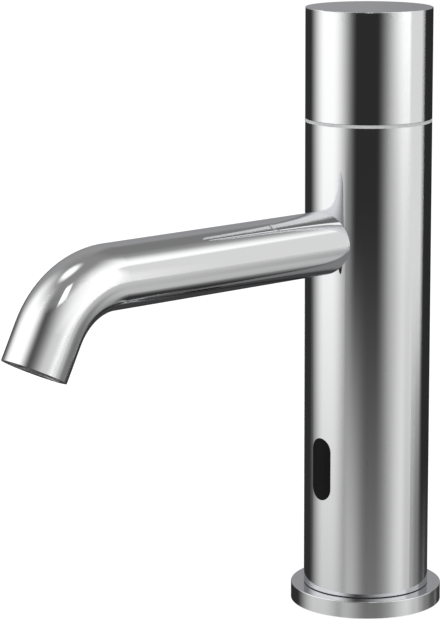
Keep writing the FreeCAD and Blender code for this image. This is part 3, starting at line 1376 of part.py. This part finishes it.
column_and_flange()
spout()
water_way()
aerator()
base_block()
risers()
cable_gland()
sensor_window()
sensor_housing()
sensor_bracket()
valve_block()
cartridge_foot()
cartridge_housing()
cartridge_stem()
head()
diaphragm()
solenoid_body()
plunger()
coil()
check_and_write()
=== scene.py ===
"""Looks of the sensor tap: materials for every node of the CAD model, and the studio round it.

Lengths are in metres and angles in degrees. The studio's azimuths are counted round the tap's
axis from the direction of the camera, positive to the right of the picture.
"""
import json
import math
from functools import partial, reduce

import bmesh
import bpy
from mathutils import Matrix, Vector


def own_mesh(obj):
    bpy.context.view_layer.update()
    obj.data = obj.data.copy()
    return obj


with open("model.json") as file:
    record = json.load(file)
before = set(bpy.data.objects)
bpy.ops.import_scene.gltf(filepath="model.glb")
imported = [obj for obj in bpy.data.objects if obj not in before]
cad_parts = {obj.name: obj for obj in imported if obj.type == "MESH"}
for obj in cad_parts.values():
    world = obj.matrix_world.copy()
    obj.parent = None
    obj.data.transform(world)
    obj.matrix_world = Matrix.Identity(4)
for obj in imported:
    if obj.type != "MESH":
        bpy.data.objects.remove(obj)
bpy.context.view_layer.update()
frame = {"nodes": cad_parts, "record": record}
nodes = frame["nodes"]
scene = bpy.context.scene

# The camera's place, how far it looks past the tap's axis and down, and its lens
CAMERA_AZIMUTH = 45.833
CAMERA_RADIUS = 0.92325
CAMERA_HEIGHT = 0.29002
CAMERA_TURN = 1.987
CAMERA_TILT = 11.381
CAMERA_LENS = 156.51
CAMERA_SENSOR = 36.0
CAMERA_SHIFT = -0.08995
CAMERA_CLIP = (0.05, 100.0)

# The world's strength as a light, and where it is seen
AMBIENT = 0.50
BACKDROP = 1.0
WHITE = (1.0, 1.0, 1.0, 1.0)

# The floor lies just under the tap's foot. Where it is seen, it glows and has a darker grey,
# which keeps the tap's shadow.
FLOOR_RADIUS = 12.0
FLOOR_SEGMENTS = 96
FLOOR_DROP = 0.0003
FLOOR_GREY = (0.85, 0.85, 0.85, 1.0)
FLOOR_SEEN_GREY = (0.35, 0.35, 0.35, 1.0)
FLOOR_GLOW = 0.83

# The cards hang on spheres round a point of the tap's axis, each one CARD_GAP nearer to it than
# the one before.
STUDIO_HEIGHT = 0.10
STUDIO_RADIUS = 6.0
CARD_GAP = 0.1
CARD_STEP = 4.0
DISC_TURN = 12
DISC_HOLE = 0.01
ROUND = (-180.0, -180.0, 180.0, 180.0)
POLE = 89.9

# The chrome gives back about CHROME of the light. A card's brightness is multiplied by
# CARD_SHOWN to give what it looks like in the chrome.
CHROME = 0.68
CARD_SHOWN = 0.945
CARD_GAIN = CARD_SHOWN / CHROME

LAMP_DISTANCE = 1.6
LAMP_SIZE = 0.9

# The wave texture's period at a scale of 1
WAVE_PERIOD = math.pi / 10


# ---------------------------------------------------------------- shader trees
def shader_tree(owner, kind="ShaderNodeOutputMaterial"):
    """Give a material or the world an empty tree; return it and the socket of its surface."""
    owner.use_nodes = True
    tree = owner.node_tree
    tree.nodes.clear()
    return tree, tree.nodes.new(kind).inputs["Surface"]


def add(tree, kind, **values):
    """A node with values on its inputs, whose names have a _ for each space."""
    node = tree.nodes.new(kind)
    for key, value in values.items():
        node.inputs[key.replace("_", " ")].default_value = value
    return node


def combine(tree, operation, first, second):
    node = tree.nodes.new("ShaderNodeMath")
    node.operation = operation
    tree.links.new(first, node.inputs[0])
    tree.links.new(second, node.inputs[1])
    return node.outputs[0]


def blend(tree, first, second, surface):
    """Show the first shader where the factor is 0, the second where it is 1; return the factor."""
    mix = tree.nodes.new("ShaderNodeMixShader")
    tree.links.new(first.outputs[0], mix.inputs[1])
    tree.links.new(second.outputs[0], mix.inputs[2])
    tree.links.new(mix.outputs[0], surface)
    return mix.inputs[0]


# ---------------------------------------------------------------- materials
class Look:
    """A material with one Principled shader, made from the object's own coordinates."""

    def __init__(self, name, **values):
        self.material = bpy.data.materials.new(name)
        self.tree, surface = shader_tree(self.material)
        self.shader = self.add("ShaderNodeBsdfPrincipled", **values)
        self.join(self.shader.outputs[0], surface)
        self.place = self.add("ShaderNodeTexCoord").outputs["Object"]

    def add(self, kind, **values):
        return add(self.tree, kind, **values)

    def join(self, source, target):
        self.tree.links.new(source, target)

    def combine(self, operation, first, second):
        return combine(self.tree, operation, first, second)

    def noise(self, scale, detail=3.0, stretch=(1.0, 1.0, 1.0)):
        """Cloudy noise; its features are about 1/scale metres, divided by stretch."""
        mapping = self.add("ShaderNodeMapping", Scale=stretch)
        self.join(self.place, mapping.inputs["Vector"])
        node = self.add("ShaderNodeTexNoise", Scale=scale, Detail=detail)
        self.join(mapping.outputs[0], node.inputs["Vector"])
        return node.outputs["Fac"]

    def cells(self, scale):
        """The distance to the middle of the nearest cell; cells are about 1/scale metres."""
        node = self.add("ShaderNodeTexVoronoi", Scale=scale)
        self.join(self.place, node.inputs["Vector"])
        return node.outputs["Distance"]

    def bands(self, pitch, wander=0.0):
        """Level bands, one above the other every pitch metres."""
        node = self.add("ShaderNodeTexWave", Scale=WAVE_PERIOD / pitch, Distortion=wander)
        node.bands_direction = "Z"
        self.join(self.place, node.inputs["Vector"])
        return node.outputs["Fac"]

    def remap(self, value, low, high, start=0.3, end=0.7):
        """From low to high while the value goes from start to end."""
        node = self.add("ShaderNodeMapRange", From_Min=start, From_Max=end, To_Min=low, To_Max=high)
        self.join(value, node.inputs["Value"])
        return node.outputs["Result"]

    def colour(self, factor, first, second):
        node = self.tree.nodes.new("ShaderNodeMix")
        node.data_type = "RGBA"
        colour_a, colour_b = [s for s in node.inputs if s.type == "RGBA"]
        colour_a.default_value = (*first, 1.0)
        colour_b.default_value = (*second, 1.0)
        self.join(factor, node.inputs[0])
        result = [s for s in node.outputs if s.type == "RGBA"][0]
        self.join(result, self.shader.inputs["Base Color"])

    def roughness(self, value):
        self.join(value, self.shader.inputs["Roughness"])

    def bump(self, height, distance):
        """A relief of that distance in metres; each call adds to the ones before."""
        node = self.add("ShaderNodeBump", Strength=1.0, Distance=distance)
        self.join(height, node.inputs["Height"])
        normal = self.shader.inputs["Normal"]
        if normal.links:
            self.join(normal.links[0].from_socket, node.inputs["Normal"])
        self.join(node.outputs[0], normal)


def chrome():
    look = Look("polished_chrome", Metallic=1.0, Specular_Tint=(0.78, 0.785, 0.82, 1.0))
    clouds = look.noise(40.0)
    wiped = look.noise(900.0, detail=2.0, stretch=(1.0, 1.0, 0.06))
    look.colour(clouds, (0.675, 0.677, 0.682), (0.69, 0.692, 0.697))
    smears = look.remap(wiped, 0.0, 0.008)
    look.roughness(look.combine("ADD", look.remap(clouds, 0.006, 0.018), smears))
    look.bump(look.noise(220.0, detail=2.0), 8.0e-7)
    return look.material


def rubber():
    look = Look("black_rubber", Specular_IOR_Level=0.35, Sheen_Weight=0.05)
    clouds = look.noise(300.0)
    look.colour(clouds, (0.035, 0.035, 0.036), (0.065, 0.065, 0.066))
    look.roughness(look.remap(clouds, 0.55, 0.75))
    look.bump(look.noise(5000.0), 1.2e-5)
    return look.material


def satin_grey(name, dark, light):
    look = Look(name, Specular_IOR_Level=0.45)
    clouds = look.noise(180.0)
    grain = look.noise(6000.0, detail=1.0)
    look.colour(look.combine("MULTIPLY", clouds, grain), dark, light)
    look.roughness(look.remap(clouds, 0.34, 0.46))
    look.bump(grain, 8.0e-6)
    return look.material


def moulded(name, dark, light, smoothest, roughest, grain):
    look = Look(name)
    clouds = look.noise(120.0)
    look.colour(clouds, dark, light)
    look.roughness(look.remap(look.noise(700.0), smoothest, roughest))
    look.bump(clouds, 3.0e-5)
    look.bump(look.noise(7000.0, detail=1.0), grain)
    return look.material


def brass():
    look = Look("cast_brass", Metallic=1.0)
    clouds = look.noise(90.0, detail=4.0)
    pores = look.cells(1800.0)
    shade = look.combine("MULTIPLY", clouds, look.remap(pores, 0.6, 1.3, start=0.0, end=0.8))
    look.colour(shade, (0.52, 0.36, 0.15), (0.84, 0.65, 0.35))
    look.roughness(look.remap(clouds, 0.24, 0.42))
    look.bump(pores, 1.5e-5)
    look.bump(look.bands(0.0006, wander=0.4), 4.0e-6)
    return look.material


def stainless():
    look = Look("stainless_steel", Metallic=1.0)
    clouds = look.noise(140.0)
    lines = look.noise(700.0, detail=2.0, stretch=(1.0, 1.0, 14.0))
    look.colour(clouds, (0.54, 0.53, 0.51), (0.68, 0.67, 0.65))
    look.roughness(look.remap(lines, 0.18, 0.34))
    look.bump(lines, 3.0e-6)
    return look.material


def ceramic():
    look = Look("valve_ceramic", Coat_Weight=0.25, Coat_Roughness=0.08)
    specks = look.remap(look.cells(2600.0), 0.0, 1.0, start=0.02, end=0.14)
    look.colour(specks, (0.60, 0.58, 0.52), (0.86, 0.85, 0.81))
    look.roughness(look.remap(look.noise(400.0), 0.14, 0.26))
    look.bump(look.noise(3500.0), 3.0e-6)
    return look.material


def window():
    look = Look("window_dark", Specular_IOR_Level=0.05)
    clouds = look.noise(150.0)
    look.colour(clouds, (0.0045, 0.0045, 0.0050), (0.0075, 0.0075, 0.0080))
    look.roughness(look.remap(clouds, 0.16, 0.26))
    look.bump(look.noise(500.0, detail=2.0), 1.5e-6)
    return look.material


def diode(name, dark, light, transmission):
    look = Look(name, Transmission_Weight=transmission, IOR=1.54)
    swirl = look.noise(500.0, detail=2.0)
    look.colour(swirl, dark, light)
    look.roughness(look.remap(swirl, 0.03, 0.12))
    look.bump(look.noise(1500.0, detail=1.0), 4.0e-6)
    return look.material


def board():
    look = Look("board_green", Coat_Weight=0.4, Coat_Roughness=0.2)
    tracks = look.remap(look.bands(0.0016, wander=2.5), 0.0, 1.0, start=0.62, end=0.72)
    look.colour(tracks, (0.008, 0.085, 0.030), (0.030, 0.20, 0.075))
    look.roughness(look.remap(look.noise(900.0), 0.30, 0.45))
    look.bump(tracks, 3.0e-5)
    return look.material


def winding():
    look = Look("winding_copper", Metallic=0.9, Coat_Weight=0.5, Coat_Roughness=0.12)
    turns = look.bands(0.00032)
    # The colour is darker in the grooves between the wire's turns, which is painted shade, with
    # random tone from the noise on top
    shade = look.combine("MULTIPLY", turns, look.noise(400.0))
    look.colour(shade, (0.26, 0.075, 0.030), (0.80, 0.34, 0.17))
    look.roughness(look.remap(look.noise(500.0), 0.22, 0.36))
    look.bump(turns, 1.2e-4)
    return look.material


def cable():
    look = Look("lead_black", Specular_IOR_Level=0.4)
    clouds = look.noise(260.0)
    look.colour(clouds, (0.016, 0.016, 0.018), (0.034, 0.034, 0.036))
    look.roughness(look.remap(clouds, 0.38, 0.52))
    look.bump(look.noise(4200.0, detail=1.0), 1.0e-5)
    return look.material


LOOKS = {
    "polished_chrome": chrome(),
    "black_rubber": rubber(),
    "satin_grey": satin_grey("satin_grey", (0.54, 0.545, 0.55), (0.70, 0.705, 0.71)),
    "aerator_grey": satin_grey("aerator_grey", (0.15, 0.15, 0.155), (0.34, 0.34, 0.345)),
    "moulded_white": moulded(
        "moulded_white", (0.72, 0.72, 0.69), (0.84, 0.84, 0.82), 0.32, 0.46, 6.0e-6
    ),
    "moulded_black": moulded(
        "moulded_black", (0.016, 0.016, 0.017), (0.032, 0.032, 0.033), 0.38, 0.55, 1.2e-5
    ),
    "cast_brass": brass(),
    "stainless_steel": stainless(),
    "valve_ceramic": ceramic(),
    "window_dark": window(),
    "diode_clear": diode("diode_clear", (0.86, 0.88, 0.92), (0.96, 0.97, 0.99), 0.92),
    "diode_black": diode("diode_black", (0.010, 0.008, 0.014), (0.030, 0.022, 0.036), 0.10),
    "board_green": board(),
    "winding_copper": winding(),
    "lead_black": cable(),
}

for part in frame["record"]["subparts"]:
    for slot in nodes[part["node"]].material_slots:
        slot.material = LOOKS[part["material_slot"]]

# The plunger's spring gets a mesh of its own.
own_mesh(nodes["plunger_spring"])


# ---------------------------------------------------------------- world and floor
def seen_rays(tree):
    """1 for the rays that show the background: from the camera, from metal and through glass."""
    path = tree.nodes.new("ShaderNodeLightPath")
    value = path.outputs["Is Camera Ray"]
    for name in ("Is Glossy Ray", "Is Transmission Ray"):
        value = combine(tree, "MAXIMUM", value, path.outputs[name])
    return value


def make_world():
    world = bpy.data.worlds.new("studio")
    scene.world = world
    tree, surface = shader_tree(world, "ShaderNodeOutputWorld")
    light = add(tree, "ShaderNodeBackground", Color=WHITE, Strength=AMBIENT)
    seen = add(tree, "ShaderNodeBackground", Color=WHITE, Strength=BACKDROP)
    tree.links.new(seen_rays(tree), blend(tree, light, seen, surface))


def floor_material():
    material = bpy.data.materials.new("pale_floor")
    tree, surface = shader_tree(material)
    plain = add(tree, "ShaderNodeBsdfDiffuse", Color=FLOOR_GREY)
    shaded = add(tree, "ShaderNodeBsdfDiffuse", Color=FLOOR_SEEN_GREY)
    glow = add(tree, "ShaderNodeEmission", Strength=FLOOR_GLOW)
    seen = tree.nodes.new("ShaderNodeAddShader")
    tree.links.new(shaded.outputs[0], seen.inputs[0])
    tree.links.new(glow.outputs[0], seen.inputs[1])
    tree.links.new(seen_rays(tree), blend(tree, plain, seen, surface))
    return material


def put(name, shape, material):
    """Make an object of the studio from a shape."""
    mesh = bpy.data.meshes.new(name)
    shape.to_mesh(mesh)
    shape.free()
    mesh.materials.append(material)
    item = bpy.data.objects.new(name, mesh)
    scene.collection.objects.link(item)
    return item


def make_floor():
    shape = bmesh.new()
    bmesh.ops.create_circle(
        shape, cap_ends=True, radius=FLOOR_RADIUS, segments=FLOOR_SEGMENTS
    )
    bmesh.ops.translate(shape, verts=shape.verts, vec=(0.0, 0.0, -FLOOR_DROP))
    floor = put("floor", shape, floor_material())
    floor.visible_glossy = False


# ---------------------------------------------------------------- cards and lamps
def direction(azimuth, elevation):
    """The direction from the tap's axis to a place in the studio."""
    a = math.radians(CAMERA_AZIMUTH + azimuth)
    e = math.radians(elevation)
    return Vector((math.sin(a) * math.cos(e), -math.cos(a) * math.cos(e), math.sin(e)))


def spread(low, high):
    """Angles from low to high, about one CARD_STEP apart."""
    count = max(2, round((high - low) / CARD_STEP))
    return [low + (high - low) * i / count for i in range(count + 1)]


def card_material(name, shade, *edges):
    """A card's brightness, fading out towards its edges. For each direction on the card, the
    edges say where it begins, where it is whole, to where it is whole and where it ends."""
    material = bpy.data.materials.new(name)
    tree, surface = shader_tree(material)
    clear = add(tree, "ShaderNodeBsdfTransparent")
    card = add(tree, "ShaderNodeEmission", Strength=shade * CARD_GAIN)
    place = add(tree, "ShaderNodeSeparateXYZ")
    tree.links.new(add(tree, "ShaderNodeUVMap").outputs[0], place.inputs[0])
    fades = []
    for axis, (begin, whole, whole_to, end) in enumerate(edges):
        for outer, inner in ((begin, whole), (end, whole_to)):
            if outer == inner:
                continue
            fade = add(tree, "ShaderNodeMapRange", From_Min=outer, From_Max=inner)
            fade.interpolation_type = "SMOOTHSTEP"
            tree.links.new(place.outputs[axis], fade.inputs["Value"])
            fades.append(fade.outputs[0])
    cover = blend(tree, clear, card, surface)
    cover.default_value = 1.0
    if fades:
        tree.links.new(reduce(partial(combine, tree, "MULTIPLY"), fades), cover)
    return material


def hang(name, rows, material, order):
    """A curved sheet through rows of directions, which only metal and gloss see; each point comes
    with its place on the sheet, by which the material fades."""
    shape = bmesh.new()
    layer = shape.loops.layers.uv.new("UVMap")
    reach = STUDIO_RADIUS - CARD_GAP * order
    lift = Vector((0.0, 0.0, STUDIO_HEIGHT))
    points = [[(shape.verts.new(way * reach + lift), place) for way, place in row] for row in rows]
    for low, high in zip(points, points[1:]):
        for corners in zip(low, low[1:], high[1:], high):
            face = shape.faces.new([corner[0] for corner in corners])
            for loop, corner in zip(face.loops, corners):
                loop[layer].uv = corner[1]
    sheet = put(name, shape, material)
    sheet.visible_camera = False
    sheet.visible_diffuse = False
    sheet.visible_shadow = False


def make_card(name, azimuth, elevation, shade, order):
    rows = [
        [(direction(a, e), (a, e)) for a in spread(azimuth[0], azimuth[3])]
        for e in spread(elevation[0], elevation[3])
    ]
    hang(name, rows, card_material(name, shade, azimuth, elevation), order)


def make_disc(name, centre, radii, shade, order):
    middle = direction(*centre)
    side = middle.orthogonal().normalized()
    other = middle.cross(side)
    turns = [math.radians(t) for t in range(0, 361, DISC_TURN)]
    rows = []
    for g in spread(DISC_HOLE, radii[1]):
        wide, deep = math.sin(math.radians(g)), math.cos(math.radians(g))
        ring = [(side * math.cos(t) + other * math.sin(t)) * wide for t in turns]
        rows.append([(middle * deep + sideways, (g, 0.0)) for sideways in ring])
    hang(name, rows, card_material(name, shade, (0.0, 0.0, *radii)), order)


def make_lamp(name, azimuth, elevation, level):
    """A soft square lamp; level is what it adds to a white surface that faces it."""
    data = bpy.data.lights.new(name, "AREA")
    data.shape = "SQUARE"
    data.size = LAMP_SIZE
    data.energy = level * (math.pi * LAMP_DISTANCE) ** 2
    lamp = bpy.data.objects.new(name, data)
    scene.collection.objects.link(lamp)
    towards = direction(azimuth, elevation)
    lamp.location = towards * LAMP_DISTANCE + Vector((0.0, 0.0, STUDIO_HEIGHT))
    lamp.rotation_euler = towards.to_track_quat("Z", "Y").to_euler()
    lamp.visible_camera = False
    lamp.visible_glossy = False


def make_camera():
    data = bpy.data.cameras.new("camera")
    camera = bpy.data.objects.new("camera", data)
    scene.collection.objects.link(camera)
    scene.camera = camera
    data.sensor_width = CAMERA_SENSOR
    data.lens = CAMERA_LENS
    data.shift_x = CAMERA_SHIFT
    data.clip_start, data.clip_end = CAMERA_CLIP
    azimuth = math.radians(CAMERA_AZIMUTH)
    heading = math.radians(CAMERA_AZIMUTH + CAMERA_TURN)
    tilt = math.radians(CAMERA_TILT)
    level = Vector((-math.sin(heading), math.cos(heading), 0.0))
    ahead = level * math.cos(tilt) - Vector((0.0, 0.0, math.sin(tilt)))
    right = Vector((level.y, -level.x, 0.0))
    up = right.cross(ahead)
    place = Vector((
        math.sin(azimuth) * CAMERA_RADIUS,
        -math.cos(azimuth) * CAMERA_RADIUS,
        CAMERA_HEIGHT,
    ))
    turn = Matrix((right, up, -ahead)).transposed()
    camera.matrix_world = Matrix.Translation(place) @ turn.to_4x4()


# From far to near. A card has its azimuths and its elevations, each as in card_material, and a
# disc has its centre and the radii of its whole part and of its edge. The brightness comes last.
CARDS = [
    ("tent", ROUND, (-POLE, -POLE, POLE, POLE), 1.08),
    ("back_wall", (92, 116, 220, 262), (-4, 6, POLE, POLE), 0.32),
    ("ground", ROUND, (-POLE, -POLE, -30, -2), 0.31),
    ("low_floor", ROUND, (-POLE, -POLE, -56, -46), 0.04),
    ("left_floor", (-190, -170, -42, -6), (-POLE, -POLE, -36, -22), 0.08),
    ("right_veil", (34, 54, 90, 100), (-26, -14, -12, -3), 0.73),
    ("right_ground", (64, 82, 92, 126), (-46, -40, -22, -4), 0.5),
    ("right_shade", (82, 108, 130, 140), (-34, -24, -14, -8), 0.2),
    ("front_flag", (-68, -20, 14, 72), (-40, -8, -2, 14), 0.025),
    ("light_patch", (-46, -33, -31, 2), (-40, -26, -19, -9), 0.44),
    ("front_grey", (-58, -20, 8, 66), (36, 54, POLE, POLE), 0.24),
    ("front_upper", (-58, -16, -16, 70), (-4, 12, 40, 62), 0.09),
    ("canopy", ROUND, (36, 74, POLE, POLE), 0.25),
    ("back_dip", (112, 135, 165, 185), (34, 46, 58, 76), 0.2),
    ("right_screen", (77, 84, 112, 122), (-17, -8, 28, 34), 0.7),
    ("under_flag", (30, 74, 200, 220), (-POLE, -POLE, -50, -40), 0.03),
    ("low_flag", (130, 150, 190, 205), (-POLE, -POLE, -20, -10), 0.05),
    ("left_flag", (-174, -160, -130, -84), (-80, -60, -4, 14), 0.03),
    ("right_flag", (108, 124, 172, 184), (-24, -15, 2, 10), 0.025),
    ("lamp_front", (4, 10, 20, 27), (38, 45, 57, 64), 1.4),
    ("lamp_top", (-88, 79.5), (4, 15), 1.2),
]

# Azimuth, elevation and level
LAMPS = [
    ("key_lamp", -60, 50, 0.45),
    ("fill_lamp", 60, 40, 0.25),
]

make_world()
make_floor()
for order, (name, azimuth, elevation, shade) in enumerate(CARDS):
    make = make_disc if len(azimuth) == 2 else make_card
    make(name, azimuth, elevation, shade, order)
for lamp in LAMPS:
    make_lamp(*lamp)
make_camera()

scene.view_settings.view_transform = "Standard"
